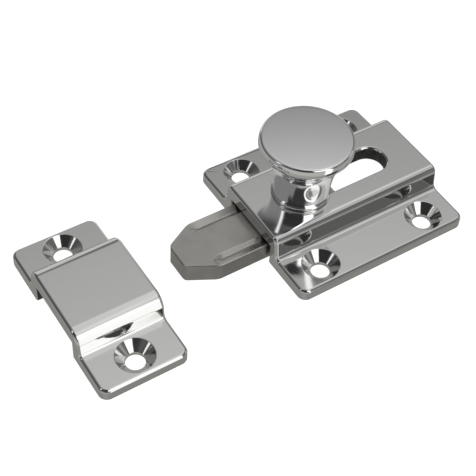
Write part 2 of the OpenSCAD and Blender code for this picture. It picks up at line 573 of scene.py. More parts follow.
def tidy_faces(thing: bpy.types.Object, angle: float = 0.02) -> None:
    """Merge doubles and join faces that lie in one plane.

    Args:
        thing: The object to clean.
        angle: Largest turn between faces that are joined, in degrees.
    """
    shape = bmesh.new()
    shape.from_mesh(thing.data)
    bmesh.ops.remove_doubles(shape, verts=shape.verts, dist=MERGE * MM)
    bmesh.ops.dissolve_degenerate(shape, edges=shape.edges, dist=MERGE * MM)
    bmesh.ops.dissolve_limit(shape, angle_limit=math.radians(angle), verts=shape.verts,
                             edges=shape.edges)
    bmesh.ops.recalc_face_normals(shape, faces=shape.faces)
    shape.to_mesh(thing.data)
    shape.free()


EdgeRule = Callable[[Vector, Vector, bool], float]


def round_edges(thing: bpy.types.Object, rule: EdgeRule, steps: int = 5,
                least_turn: float = 25.0) -> None:
    """Round the edges of a solid, each by its own radius.

    Args:
        thing: The solid.
        rule: Gives a radius in millimetres from an edge's middle and direction, both in
            millimetres, and whether it is convex.
        steps: Segments across each round.
        least_turn: Edges that turn less than this many degrees are left alone.
    """
    shape = bmesh.new()
    shape.from_mesh(thing.data)
    radii: dict[int, float] = {}
    for edge in shape.edges:
        if len(edge.link_faces) != 2 or edge.calc_face_angle(0.0) < math.radians(least_turn):
            continue
        a, b = (v.co / MM for v in edge.verts)
        radii[edge.index] = rule((a + b) / 2, (b - a).normalized(), edge.is_convex)
    shape.to_mesh(thing.data)
    shape.free()
    widest = max(radii.values())
    weight = thing.data.attributes.new("bevel_weight_edge", "FLOAT", "EDGE")
    for index, radius in radii.items():
        weight.data[index].value = radius / widest
    step = thing.modifiers.new("round", "BEVEL")
    step.limit_method = "WEIGHT"
    step.width = widest * MM
    step.segments = steps
    step.profile = ROUND_PROFILE
    step.use_clamp_overlap = False
    step.miter_outer = "MITER_SHARP"
    settle(thing)
    leftover = thing.data.attributes.get("bevel_weight_edge")
    if leftover:
        thing.data.attributes.remove(leftover)


def smooth(thing: bpy.types.Object, sharp_above: float = 30.0, weighted: bool = True) -> None:
    """Shade a piece smooth, with creases only where faces turn sharply.

    Args:
        thing: The piece.
        sharp_above: Turn in degrees above which an edge stays crisp.
        weighted: Whether large flat faces keep their own normals.
    """
    thing.data.shade_smooth()
    thing.data.set_sharp_from_angle(angle=math.radians(sharp_above))
    if weighted:
        step = thing.modifiers.new("flat faces", "WEIGHTED_NORMAL")
        step.keep_sharp = True
        step.weight = 100
        settle(thing)
        level_flats(thing)


def level_flats(thing: bpy.types.Object, least_area: float = 3.0, reach: float = 4.0) -> None:
    """Give every corner beside a large flat face exactly that face's normal.

    Args:
        thing: The piece, with normals that already nearly follow its flat faces.
        least_area: Smallest area of a large face, in square millimetres.
        reach: Largest turn of a corner's normal, in degrees.
    """
    mesh = thing.data
    flats: dict[int, list[Vector]] = {}
    for face in mesh.polygons:
        if face.area > least_area * MM ** 2:
            for point in face.vertices:
                flats.setdefault(point, []).append(face.normal.copy())
    normals = [corner.vector.copy() for corner in mesh.corner_normals]
    for loop in mesh.loops:
        own = normals[loop.index]
        nearest = min(flats.get(loop.vertex_index, [own]), key=own.angle)
        if own.angle(nearest) < math.radians(reach):
            normals[loop.index] = nearest
    mesh.normals_split_custom_set(normals)


# ------------------------------------------------------------------------- lathe and thread


@dataclass(frozen=True)
class Turning:
    """A piece turned on a lathe: a half outline swept round an upright axis.

    Attributes:
        outline: Radius and height of each point, in millimetres.
        axis: x and y of the axis, in millimetres.
        segments: Facets round the axis.
        spindle: Radius of the ring that the outline is swept along, in millimetres.
    """

    outline: tuple[Point2, ...]
    axis: Point2
    segments: int = 128
    spindle: float = 0.1

    def tree(self, material: bpy.types.Material | None) -> bpy.types.NodeTree:
        """Build the sweep as a Geometry Nodes tree.

        Args:
            material: Set on the result; a cutter has none.

        Returns:
            The tree, with named inputs.
        """
        tree = bpy.data.node_groups.new("turn on the lathe", "GeometryNodeTree")
        for name, kind in (("Outline", "Geometry"), ("Segments", "Int"), ("Spindle", "Float")):
            tree.interface.new_socket(name, in_out="INPUT", socket_type=f"NodeSocket{kind}")
        tree.interface.new_socket("Turned", in_out="OUTPUT", socket_type="NodeSocketGeometry")
        graph = Graph(tree)
        outline = graph.add("NodeGroupInput", output="Outline")
        segments = graph.add("NodeGroupInput", output="Segments")
        spindle = graph.add("NodeGroupInput", output="Spindle")
        half = graph.add("GeometryNodeMeshToCurve", inputs={"Mesh": outline})
        ring = graph.add("GeometryNodeCurvePrimitiveCircle", inputs={
            "Resolution": segments, "Radius": spindle})
        swept = graph.add("GeometryNodeCurveToMesh", inputs={"Curve": ring, "Profile Curve": half})
        closed = graph.add("GeometryNodeMergeByDistance", inputs={
            "Geometry": swept, "Distance": MERGE * MM})
        single = graph.add("GeometryNodeRealizeInstances", inputs={"Geometry": closed})
        dressed = graph.add("GeometryNodeSetMaterial", inputs={
            "Geometry": single, "Material": material})
        graph.add("NodeGroupOutput", inputs={"Turned": dressed})
        return tree

    def make(self, name: str, material: bpy.types.Material | None = None) -> bpy.types.Object:
        """Turn the piece.

        Args:
            name: The piece's name.
            material: Its finish, or none for a cutter.

        Returns:
            The piece as a plain mesh, in metres and in its place.
        """
        points = [((r - self.spindle) * MM, -z * MM, 0.0) for r, z in self.outline]
        mesh = bpy.data.meshes.new(name)
        mesh.from_pydata(points, [(i, i + 1) for i in range(len(points) - 1)], [])
        thing = new_object(name, mesh)
        step = thing.modifiers.new("lathe", "NODES")
        step.node_group = self.tree(material)
        set_inputs(step, {"Segments": self.segments, "Spindle": self.spindle * MM})
        settle(thing)
        thing.data.transform(Matrix.Translation((self.axis[0] * MM, self.axis[1] * MM, 0.0)))
        close_up(thing)
        return thing


def set_inputs(step: bpy.types.Modifier, values: Mapping[str, Number]) -> None:
    """Set a Geometry Nodes modifier's inputs by their names.

    Args:
        step: The modifier.
        values: Input name to value.
    """
    for item in step.node_group.interface.items_tree:
        if item.item_type == "SOCKET" and item.in_out == "INPUT" and item.name in values:
            step[item.identifier] = values[item.name]


def close_up(thing: bpy.types.Object) -> None:
    """Merge doubled points and turn every face outwards."""
    shape = bmesh.new()
    shape.from_mesh(thing.data)
    bmesh.ops.remove_doubles(shape, verts=shape.verts, dist=MERGE * MM)
    bmesh.ops.dissolve_degenerate(shape, edges=shape.edges, dist=0.0001 * MM)
    bmesh.ops.recalc_face_normals(shape, faces=shape.faces)
    shape.to_mesh(thing.data)
    shape.free()


@dataclass(frozen=True)
class Thread:
    """The ridge of a screw thread, swept along a helix about an upright axis.

    Attributes:
        core_r: Radius of the helix.
        ridge: Radius of the three-sided ridge.
        pitch: Rise in one turn.
        low: Height of the thread's start.
        high: Height of its end.
        axis: x and y of the axis.
        turn_steps: Segments in one turn.
    """

    core_r: float
    ridge: float
    pitch: float
    low: float
    high: float
    axis: Point2
    turn_steps: int = 32

    def make(self, name: str, material: bpy.types.Material) -> bpy.types.Object:
        """Wind the thread.

        Args:
            name: The piece's name.
            material: Its finish.

        Returns:
            The ridge as a plain mesh in its place.
        """
        tree = bpy.data.node_groups.new("wind the thread", "GeometryNodeTree")
        for socket, kind in (("Seed", "Geometry"), ("Turns", "Float"), ("Core", "Float"),
                             ("Length", "Float"), ("Ridge", "Float")):
            tree.interface.new_socket(socket, in_out="INPUT", socket_type=f"NodeSocket{kind}")
        tree.interface.new_socket("Thread", in_out="OUTPUT", socket_type="NodeSocketGeometry")
        graph = Graph(tree)
        core = graph.add("NodeGroupInput", output="Core")
        helix = graph.add("GeometryNodeCurveSpiral", inputs={
            "Resolution": self.turn_steps, "Rotations": graph.add("NodeGroupInput", output="Turns"),
            "Start Radius": core, "End Radius": core,
            "Height": graph.add("NodeGroupInput", output="Length")})
        section = graph.add("GeometryNodeCurvePrimitiveCircle", inputs={
            "Resolution": 3, "Radius": graph.add("NodeGroupInput", output="Ridge")})
        swept = graph.add("GeometryNodeCurveToMesh", inputs={
            "Curve": helix, "Profile Curve": section, "Fill Caps": True})
        single = graph.add("GeometryNodeRealizeInstances", inputs={"Geometry": swept})
        dressed = graph.add("GeometryNodeSetMaterial", inputs={
            "Geometry": single, "Material": material})
        graph.add("NodeGroupOutput", inputs={"Thread": dressed})
        thing = new_object(name, bpy.data.meshes.new(name))
        step = thing.modifiers.new("thread", "NODES")
        step.node_group = tree
        set_inputs(step, {"Turns": (self.high - self.low) / self.pitch, "Core": self.core_r * MM,
                          "Length": (self.high - self.low) * MM, "Ridge": self.ridge * MM})
        settle(thing)
        thing.data.transform(Matrix.Translation(Vector((*self.axis, self.low)) * MM))
        close_up(thing)
        return thing


# -------------------------------------------------------------------------- the pieces


def node_box(node: str) -> tuple[Vector, Vector]:
    """Return a CAD node's lowest and highest corners in millimetres."""
    low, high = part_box(node)
    return Vector(low) / MM, Vector(high) / MM


@dataclass
class ScrewHoles:
    """Countersunk holes through a plate: a straight bore under a 90 degree cone."""

    centres: list[Point2]
    bore_r: float = 2.1
    mouth_r: float = 4.2
    segments: int = 80

    def cutters(self, surface: float) -> list[bpy.types.Object]:
        """Return one closed cutter for each hole.

        Args:
            surface: Height of the plate's face at the holes.
        """
        cone = self.mouth_r - self.bore_r
        outline = ((0.0, -OVER), (self.bore_r, -OVER), (self.bore_r, surface - cone),
                   (self.mouth_r, surface), (self.mouth_r + OVER, surface + OVER),
                   (0.0, surface + OVER))
        return [Turning(outline, centre, self.segments).make("cutter") for centre in self.centres]


def raised_side(foot_y: float, top_y: float, low: float, high: float, shoulder_r: float,
                cove_r: float) -> list[Point2]:
    """Return one side of a raised part: a cove, a leaning wall and a rounded shoulder.

    Args:
        foot_y: Half width where the wall meets the flange.
        top_y: Half width where the wall would meet the top.
        low: The flange's height.
        high: The top's height.
        shoulder_r: Radius of the shoulder.
        cove_r: Radius of the cove at the wall's foot.

    Returns:
        Points from the flange up to the top.
    """
    slope = math.degrees(math.atan2(foot_y - top_y, high - low))
    share = math.tan(math.radians(45 - slope / 2))
    cove = arc((foot_y + cove_r * share, low + cove_r), cove_r, -90, -180 + slope,
               COVE_STEPS)
    return cove + arc((top_y - shoulder_r * share, high - shoulder_r), shoulder_r, slope, 90,
                      SHOULDER_STEPS)


@dataclass
class LatchCase:
    """The slotted casting that holds the bolt: two screw flanges and a raised housing.

    Attributes:
        finish: Finish of the outside.
        inside: Painted shade for the channel and the slot's walls.
        near_fall: How much lower the near flange is at its outer edge.
        far_fall: The same for the far flange.
        top_w: Width of the housing where its walls would meet the top.
        foot_w: Width of the housing at its foot.
        end_wall: Thickness of the wall that closes the channel.
        slot_near: x of the slot's end that the knob stands at.
        slot_far: x of the slot's other end.
        end_zone: How far in from the ends an edge counts as an outer one.
        side_zone: The same from the sides.
        slot_foot_edge_r: Radius of the slot's edge in the channel's ceiling.
        shade_start_slot: How far down the slot the painted shade starts.
        shade_start_mouth: How far into the channel's open end the painted shade starts.
        shade_stop_end: How far in from the closed end the painted shade stops.
    """

    finish: PolishedPlate
    inside: PaintedRecessShade
    flange_t: float = 3.2
    near_fall: float = 0.12
    far_fall: float = 0.34
    corner_r: float = 2.0
    top_w: float = 19.3
    foot_w: float = 20.7
    shoulder_r: float = 1.8
    fillet_r: float = 1.2
    end_wall: float = 2.6
    channel_w: float = 15.4
    channel_z: float = 5.2
    slot_r: float = 3.7
    slot_near: float = -9.0
    slot_far: float = 10.1
    hole_x: float = 14.0
    hole_y: float = 16.0
    edge_r: float = 0.7
    slot_edge_r: float = 0.6
    mouth_edge_r: float = 0.45
    back_edge_r: float = 0.35
    slot_foot_edge_r: float = 0.15
    end_zone: float = 2.1
    side_zone: float = 0.7
    # Margins that keep the painted shade off the bright edges of the slot, the mouth and the closed
    # end.
    shade_start_slot: float = 0.5
    shade_start_mouth: float = 0.3
    shade_stop_end: float = 1.0
    holes: ScrewHoles = field(init=False)

    def __post_init__(self) -> None:
        """Read the casting's box and lay out its screw holes."""
        self.low, self.high = node_box("latch_case")
        self.holes = ScrewHoles([(sx * self.hole_x, sy * self.hole_y)
                                 for sx in (-1, 1) for sy in (-1, 1)])

    def section(self) -> list[Point2]:
        """Return the outline across the bolt: flanges, coved feet, sloping sides and a flat top."""
        half = self.high.y
        side = raised_side(self.foot_w / 2, self.top_w / 2, self.flange_t, self.high.z,
                           self.shoulder_r, self.fillet_r)
        far = [(half, self.low.z), (half, self.flange_t - self.far_fall)] + side
        near = [(half, self.low.z), (half, self.flange_t - self.near_fall)] + side
        return far + [(-y, z) for y, z in reversed(near)]

    def stadium(self) -> list[Point2]:
        """Return the slot's outline."""
        return (arc((self.slot_far, 0.0), self.slot_r, -90, 90, SLOT_STEPS)
                + arc((self.slot_near, 0.0), self.slot_r, 90, 270, SLOT_STEPS))

    def edge_radius(self, middle: Vector, along: Vector, convex: bool) -> float:
        """Choose how much an edge of the casting is rounded.

        Args:
            middle: The edge's middle.
            along: Its direction; not used here.
            convex: Whether it stands out.

        Returns:
            A radius in millimetres.
        """
        if middle.z < SLACK:
            return self.back_edge_r
        if abs(middle.y) < self.channel_w / 2 + SLACK and middle.z < self.channel_z + SLACK:
            return self.mouth_edge_r if middle.x < self.low.x + SLACK else RAW_EDGE_R
        at_end = abs(abs(middle.x) - self.high.x) < self.end_zone
        if convex and (at_end or abs(middle.y) > self.high.y - self.side_zone):
            return self.edge_r
        if abs(middle.y) < self.slot_r + SLACK and middle.z > self.channel_z - SLACK:
            at_top = middle.z > self.high.z - SLACK
            return self.slot_edge_r if at_top else self.slot_foot_edge_r
        return RAW_EDGE_R

    def is_inside(self, middle: Vector) -> bool:
        """Tell whether a face's middle lies in the channel or deep in the slot, where the painted
        shade goes.
        """
        across = abs(middle.y)
        in_slot = across < self.slot_r + SLACK and middle.z < self.high.z - self.shade_start_slot
        in_channel = across < self.channel_w / 2 + SLACK and middle.z < self.channel_z + SLACK
        off_ends = self.low.x + self.shade_start_mouth < middle.x < self.high.x - self.shade_stop_end
        return (in_slot or in_channel) and off_ends and middle.z > BACK_SKIN

    def make(self) -> bpy.types.Object:
        """Build the casting.

        Returns:
            The finished piece.
        """
        span = (self.low.x, self.high.x)
        body = prism("case_body", self.section(), *span, lengthwise)
        outline = round_rectangle(span[1] - span[0], 2 * self.high.y, self.corner_r, CORNER_STEPS)
        carve(body, [prism("plan", outline, -OVER, self.high.z + OVER, upright)], Cut.KEEP)
        half = self.channel_w / 2
        channel = [(self.low.x - OVER, -half), (self.high.x - self.end_wall, -half),
                   (self.high.x - self.end_wall, half), (self.low.x - OVER, half)]
        cutters = [prism("channel", channel, -OVER, self.channel_z, upright),
                   prism("slot", self.stadium(), self.channel_z - OVER, self.high.z + OVER, upright)]
        surface = self.flange_t - self.near_fall / 2
        carve(body, cutters + self.holes.cutters(surface))
        tidy_faces(body)
        round_edges(body, self.edge_radius)
        close_up(body)
        smooth(body)
        # The channel and slot walls get the near-black painted shade.
        dress(body, self.finish.make(), self.inside.make(), self.is_inside)
        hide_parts("latch_case")
        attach(body, "case")
        return body


@dataclass
class Strike:
    """The bridge that the bolt shoots into: two feet and a raised arch on leaning legs.

    Attributes:
        finish: Finish of the outside.
        inside: Painted shade for the tunnel's walls.
        foot_fall: How much lower the feet are at their outer edges.
        bridge_foot_w: Width of the bridge at its foot.
        bridge_top_w: Width of the bridge where its legs would meet the top.
        tunnel_edge_r: Radius of the tunnel's edges.
        end_zone: How far in from the ends an edge counts as an outer one.
        side_zone: The same from the sides.
        shade_start_mouth: How far into the tunnel the painted shade starts.
    """

    finish: PolishedPlate
    inside: PaintedRecessShade
    foot_t: float = 3.2
    foot_fall: float = 0.12
    corner_r: float = 2.0
    bridge_foot_w: float = 21.9
    bridge_top_w: float = 20.8
    shoulder_r: float = 3.4
    fillet_r: float = 0.8
    tunnel_w: float = 16.4
    tunnel_z: float = 5.2
    hole_y: float = 16.0
    edge_r: float = 0.75
    back_edge_r: float = 0.35
    tunnel_edge_r: float = 0.25
    end_zone: float = 2.1
    side_zone: float = 0.75
    # Margin that keeps the painted shade off the tunnel's bright mouths.
    shade_start_mouth: float = 0.3

    def __post_init__(self) -> None:
        """Read the strike's box and find its middle."""
        self.low, self.high = node_box("strike")
        self.mid = (self.low + self.high) / 2
        self.half = (self.high - self.low) / 2

    def section(self) -> list[Point2]:
        """Return the outline across the strike, feet, legs, shoulders and tunnel."""
        tunnel = self.tunnel_w / 2
        right = [(tunnel, 0.0), (self.half.y, 0.0), (self.half.y, self.foot_t - self.foot_fall)]
        right += raised_side(self.bridge_foot_w / 2, self.bridge_top_w / 2, self.foot_t,
                             self.high.z, self.shoulder_r, self.fillet_r)
        left = [(-y, z) for y, z in reversed(right)]
        return right + left + [(-tunnel, self.tunnel_z), (tunnel, self.tunnel_z)]

    def edge_radius(self, middle: Vector, along: Vector, convex: bool) -> float:
        """Choose how much an edge of the strike is rounded.

        Args:
            middle: The edge's middle, from the strike's own middle.
            along: Its direction; not used here.
            convex: Whether it stands out.

        Returns:
            A radius in millimetres.
        """
        if self.in_tunnel(middle):
            return self.tunnel_edge_r
        if middle.z < SLACK:
            return self.back_edge_r
        at_end = abs(abs(middle.x) - self.half.x) < self.end_zone
        outer = at_end or abs(middle.y) > self.half.y - self.side_zone
        return self.edge_r if outer and convex else RAW_EDGE_R

    def in_tunnel(self, middle: Vector) -> bool:
        """Tell whether a place is within the tunnel's width and height."""
        return abs(middle.y) < self.tunnel_w / 2 + SLACK and middle.z < self.tunnel_z + SLACK

    def is_inside(self, middle: Vector) -> bool:
        """Tell whether a face's middle, from the strike's own middle, lies on the tunnel's walls,
        where the painted shade goes.
        """
        off_ends = abs(middle.x) < self.half.x - self.shade_start_mouth
        return self.in_tunnel(middle) and off_ends and middle.z > BACK_SKIN

    def make(self) -> bpy.types.Object:
        """Build the strike about its own middle, then move its mesh into place.

        Returns:
            The finished piece.
        """
        body = prism("strike_body", self.section(), -self.half.x, self.half.x, lengthwise)
        outline = round_rectangle(2 * self.half.x, 2 * self.half.y, self.corner_r, CORNER_STEPS)
        carve(body, [prism("plan", outline, -OVER, self.high.z + OVER, upright)], Cut.KEEP)
        holes = ScrewHoles([(0.0, self.hole_y), (0.0, -self.hole_y)])
        carve(body, holes.cutters(self.foot_t - self.foot_fall * 0.5))
        tidy_faces(body)
        round_edges(body, self.edge_radius)
        close_up(body)
        smooth(body)
        # The tunnel walls get the near-black painted shade.
        dress(body, self.finish.make(), self.inside.make(), self.is_inside)
        body.data.transform(Matrix.Translation(Vector((self.mid.x, self.mid.y, 0.0)) * MM))
        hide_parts("strike")
        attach(body, "strike")
        return body


@dataclass
class SlidingBolt:
    """The satin bar that shoots out of the case, with a tip bevelled on both sides.

    Attributes:
        finish: Its finish.
        tip_l: Length of the bevelled tip.
        tip_flat: Width of the tip's blunt end.
        tip_zone: How far back from the end an upright edge belongs to the tip.
        flute: Section of a flute's cutter: distance in from the side, height over the top.
        flute_start: How far back from the end the flutes start.
        flute_nose: Length in which a flute reaches its full depth.
        flute_lead: Share of the full depth that it starts with.
        flute_lift: How high the cutter is lifted where it starts.
        flute_steps: Segments along a flute.
        head_r: Radius of the seat's countersink for the knob's screw.
        shank_r: Radius of the screw's hole.
        seat_rim: Depth of the straight part at the countersink's mouth.
        pocket_gap: Room round the spring in its pocket.
        pocket_d: Depth of the pocket.
    """

    finish: SatinCasting
    tip_l: float = 6.6
    tip_flat: float = 6.7
    tip_edge_r: float = 1.1
    edge_r: float = 0.35
    flute: tuple[Point2, ...] = (
        (3.7, 0.6), (-0.5, 0.6), (-0.5, 0.12), (0.1, -0.06), (1.5, -0.60), (1.8, -0.69),
        (2.0, -0.70), (2.2, -0.63), (2.7, -0.20), (2.95, -0.04), (3.25, 0.03), (3.7, 0.12))
    flute_start: float = 5.9
    flute_nose: float = 2.4
    flute_lead: float = 0.05
    flute_lift: float = 0.1
    flute_steps: int = 60
    tip_zone: float = 8.0
    head_r: float = 3.75
    shank_r: float = 2.15
    seat_rim: float = 0.1
    pocket_gap: float = 0.2
    pocket_d: float = 0.5

    def __post_init__(self) -> None:
        """Read the bolt's box and the knob's axis."""
        self.low, self.high = node_box("sliding_bolt")
        knob_low, knob_high = node_box("knob")
        self.axis_x = (knob_low.x + knob_high.x) / 2

    def plan(self) -> list[Point2]:
        """Return the bolt's outline from above."""
        half, flat = self.high.y, self.tip_flat / 2
        return [(self.high.x, -half), (self.high.x, half), (self.low.x + self.tip_l, half),
                (self.low.x, flat), (self.low.x, -flat), (self.low.x + self.tip_l, -half)]

    def flutes(self) -> list[bpy.types.Object]:
        """Return the cutters that leave the two flutes, each running out in a shallow nose."""
        start = self.low.x + self.flute_start

        def cutter(side: int) -> bpy.types.Object:
            """Return one side's cutter."""
            def place(inset: float, height: float, x: float) -> Point3:
                """Place a section point, lifted and flattened along the nose."""
                depth = min(1.0, self.flute_lead + (x - start) / self.flute_nose)
                return (x, side * (self.high.y - inset),
                        self.high.z + height * depth + self.flute_lift * (1.0 - depth))
            return prism("flute", self.flute, start, self.high.x + 2 * OVER, place,
                         self.flute_steps)

        return [cutter(-1), cutter(1)]

    def screw_seat(self) -> bpy.types.Object:
        """Return the cutter for the countersunk hole under the knob."""
        depth = self.low.z + self.seat_rim
        cone = self.head_r - self.shank_r
        outline = ((0.0, -OVER), (self.head_r, -OVER), (self.head_r, depth),
                   (self.shank_r, depth + cone), (self.shank_r, self.high.z + OVER),
                   (0.0, self.high.z + OVER))
        return Turning(outline, (self.axis_x, 0.0), 64).make("seat")

    def edge_radius(self, middle: Vector, along: Vector, convex: bool) -> float:
        """Choose how much an edge of the bolt is rounded: upright tip edges most."""
        at_tip = middle.x < self.low.x + self.tip_zone
        return self.tip_edge_r if at_tip and abs(along.z) > 0.9 else self.edge_r

    def spring_pocket(self) -> bpy.types.Object:
        """Return the cutter for the leaf spring's pocket in the bolt's far side."""
        low, high = node_box("friction_spring")
        gap, floor = self.pocket_gap, self.high.y - self.pocket_d
        outline = [(low.x - gap, floor), (high.x + gap, floor),
                   (high.x + gap, self.high.y + OVER), (low.x - gap, self.high.y + OVER)]
        return prism("pocket", outline, low.z - gap, high.z + gap, upright)

    def make(self) -> bpy.types.Object:
        """Build the bolt.

        Returns:
            The finished piece.
        """
        body = prism("bolt_bar", self.plan(), self.low.z, self.high.z, upright)
        round_edges(body, self.edge_radius)
        close_up(body)
        carve(body, self.flutes() + [self.screw_seat(), self.spring_pocket()])
        close_up(body)
        smooth(body, 24.0)
        dress(body, self.finish.make())
        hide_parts("sliding_bolt")
        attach(body, "bolt_set")
        return body


@dataclass
class KnobSet:
    """The knob and what holds it: machine screw, spacer sleeve and slide washer.

    Attributes:
        plate: The knob's finish.
        steel: The screw's finish.
        brass: The sleeve's finish.
        nylon: The washer's finish.
        neck_r: Radius of the neck at its foot.
        skirt_h: Height of the skirt that hides the washer.
        skirt_t: Thickness of the skirt.
        washer_play: Room between the skirt and the washer.
        bead_h: Height of the bead round the foot.
        bead_sweep: How far the bead's round goes up and down from its middle, in degrees.
        cove_h: Height from the foot to the neck's narrowest place.
        rim_h: Height from the neck's top to the cap's top.
        rim_r: Radius of the cap's round side.
        rim_turn: Where the side's round meets the edge's, in degrees over the level.
        cap_edge: Radius of the cap's edge.
        dome: Rise of the cap's top.
        neck_linear: Share of the neck's widening that is even; the rest comes near the cap.
        grip: Depth of the screw's hole.
        screw_tip: Size of the chamfer at the screw's end.
        head_rim: Height of the straight part at the edge of the screw's head.
        driver_w: Width of the driver slot.
        driver_d: Depth of the driver slot.
        pitch: Rise of the thread in one turn.
        thread_ridge: Size of the thread's ridge.
        thread_lift: How far the thread's helix lies outside the core.
        thread_start: Height of the thread's start over the screw's head.
        thread_end: How far the thread stops short of the screw's end.
    """

    plate: PolishedPlate
    steel: TurnedMetal
    brass: TurnedMetal
    nylon: NaturalNylon
    neck_r: float = 6.3
    skirt_h: float = 0.3
    skirt_t: float = 0.3
    bead_h: float = 0.9
    cove_h: float = 1.0
    rim_h: float = 2.0
    rim_r: float = 3.2
    rim_turn: float = 22.0
    cap_edge: float = 0.7
    dome: float = 0.2
    neck_linear: float = 0.2
    washer_play: float = 0.2
    bead_sweep: float = 60.0
    bore_r: float = 2.05
    grip: float = 9.2
    screw_core_r: float = 1.66
    screw_tip: float = 0.4
    head_rim: float = 0.1
    driver_w: float = 1.0
    driver_d: float = 0.8
    pitch: float = 0.7
    thread_ridge: float = 0.29
    thread_lift: float = 0.02
    thread_start: float = 2.6
    thread_end: float = 0.5
    sleeve_bore_r: float = 2.15
    sleeve_edge_r: float = 0.15
    washer_bore_r: float = 3.6
    washer_edge_r: float = 0.08

    def __post_init__(self) -> None:
        """Read the knob's box and the washer's radius, which the knob's foot goes round."""
        self.foot_r = node_box("slide_washer")[1].y + self.washer_play + self.skirt_t
        self.low, self.high = node_box("knob")
        self.axis = ((self.low.x + self.high.x) / 2, 0.0)
        self.cap_r = (self.high.x - self.low.x) / 2

    def neck(self, share: float) -> float:
        """Return the neck's radius at a share of the way from its foot to the cap."""
        rise = self.neck_linear * share + (1 - self.neck_linear) * share ** 3
        return self.neck_r + (self.cap_r - self.neck_r) * rise

    def knob_outline(self) -> tuple[Point2, ...]:
        """Return the knob's half outline from the end of its bore to the top of its dome."""
        foot, top = self.low.z + self.skirt_h, self.high.z - self.dome
        bead = self.bead_h / 2
        neck_z, rim_z = foot + self.cove_h, top - self.rim_h
        recess_r = self.foot_r - self.skirt_t
        points: list[Point2] = [(0.0, foot + self.grip + OVER), (self.bore_r, foot + self.grip),
                                (self.bore_r, foot), (recess_r, foot), (recess_r, self.low.z)]
        points += arc((self.foot_r - bead, self.low.z + bead), bead,
                      -self.bead_sweep, self.bead_sweep, TURNED_STEPS)
        steps = 36
        points += [(self.neck(i / steps), neck_z + (rim_z - neck_z) * i / steps)
                   for i in range(steps + 1)]
        turn = math.radians(self.rim_turn)
        side_x = self.cap_r - self.rim_r
        flat = side_x + (self.rim_r - self.cap_edge) * math.cos(turn)
        edge_z = top - self.cap_edge
        wide_z = edge_z - (self.rim_r - self.cap_edge) * math.sin(turn)
        under = math.degrees(math.asin((wide_z - rim_z) / self.rim_r))
        points += arc((side_x, wide_z), self.rim_r, -under, self.rim_turn, TURNED_STEPS)
        points += arc((flat, edge_z), self.cap_edge, self.rim_turn, 88, TURNED_STEPS)[1:]
        rings = 14
        points += [(flat * (1 - i / rings), top + self.dome * (1 - (1 - i / rings) ** 2))
                   for i in range(1, rings + 1)]
        return tuple(points)

    def make_knob(self) -> bpy.types.Object:
        """Turn the knob."""
        knob = Turning(self.knob_outline(), self.axis, 160).make("knob_body", self.plate.make())
        smooth(knob, 40.0, weighted=False)
        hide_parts("knob")
        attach(knob, "bolt_set")
        return knob

    def make_screw(self) -> bpy.types.Object:
        """Turn the screw, cut its driver slot and wind its thread."""
        low, high = node_box("knob_screw")
        head_r = (high.y - low.y) / 2
        metal = self.steel.make()
        core, tip = self.screw_core_r, self.screw_tip
        outline = ((0.0, low.z), (head_r - self.head_rim, low.z), (head_r, low.z + self.head_rim),
                   (core, low.z + head_r - core), (core, high.z - tip), (core - tip, high.z),
                   (0.0, high.z))
        screw = Turning(outline, self.axis, 64).make("screw_body", metal)
        left, right = self.axis[0] - head_r - OVER, self.axis[0] + head_r + OVER
        half = self.driver_w / 2
        slot = [(left, -half), (right, -half), (right, half), (left, half)]
        carve(screw, [prism("driver slot", slot, low.z - OVER, low.z + self.driver_d, upright)])
        thread = Thread(core + self.thread_lift, self.thread_ridge, self.pitch,
                        low.z + self.thread_start, high.z - self.thread_end,
                        self.axis).make("thread", metal)
        join(screw, thread)
        smooth(screw, 30.0, weighted=False)
        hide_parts("knob_screw")
        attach(screw, "bolt_set")
        return screw

    def ring(self, name: str, node: str, inner: float, edge: float,
             material: bpy.types.Material) -> bpy.types.Object:
        """Turn a plain ring with softened edges.

        Args:
            name: The piece's name.
            node: The CAD node that it stands for.
            inner: Radius of its bore.
            edge: Size of its edge rounds.
            material: Its finish.

        Returns:
            The ring.
        """
        low, high = node_box(node)
        outer = (high.x - low.x) / 2
        outline = (arc((outer - edge, low.z + edge), edge, -90, 0, 4)
                   + arc((outer - edge, high.z - edge), edge, 0, 90, 4)
                   + arc((inner + edge, high.z - edge), edge, 90, 180, 4)
                   + arc((inner + edge, low.z + edge), edge, 180, 270, 4))
        outline.append(outline[0])
        ring = Turning(tuple(outline), self.axis, 96).make(name, material)
        smooth(ring, 40.0, weighted=False)
        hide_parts(node)
        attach(ring, "bolt_set")
        return ring

    def make(self) -> list[bpy.types.Object]:
        """Build the four pieces.

        Returns:
            Knob, screw, sleeve and washer.
        """
        sleeve = self.ring("sleeve_body", "slot_sleeve", self.sleeve_bore_r, self.sleeve_edge_r,
                           self.brass.make())
        washer = self.ring("washer_body", "slide_washer", self.washer_bore_r, self.washer_edge_r,
                           self.nylon.make())
        return [self.make_knob(), self.make_screw(), sleeve, washer]


def join(keeper: bpy.types.Object, other: bpy.types.Object) -> None:
    """Add one object's mesh to another's and delete the first.

    Args:
        keeper: The object that stays.
        other: The object whose faces it takes.
    """
    shape = bmesh.new()
    shape.from_mesh(keeper.data)
    shape.from_mesh(other.data)
    shape.to_mesh(keeper.data)
    shape.free()
    mesh = other.data
    bpy.data.objects.remove(other)
    bpy.data.meshes.remove(mesh)


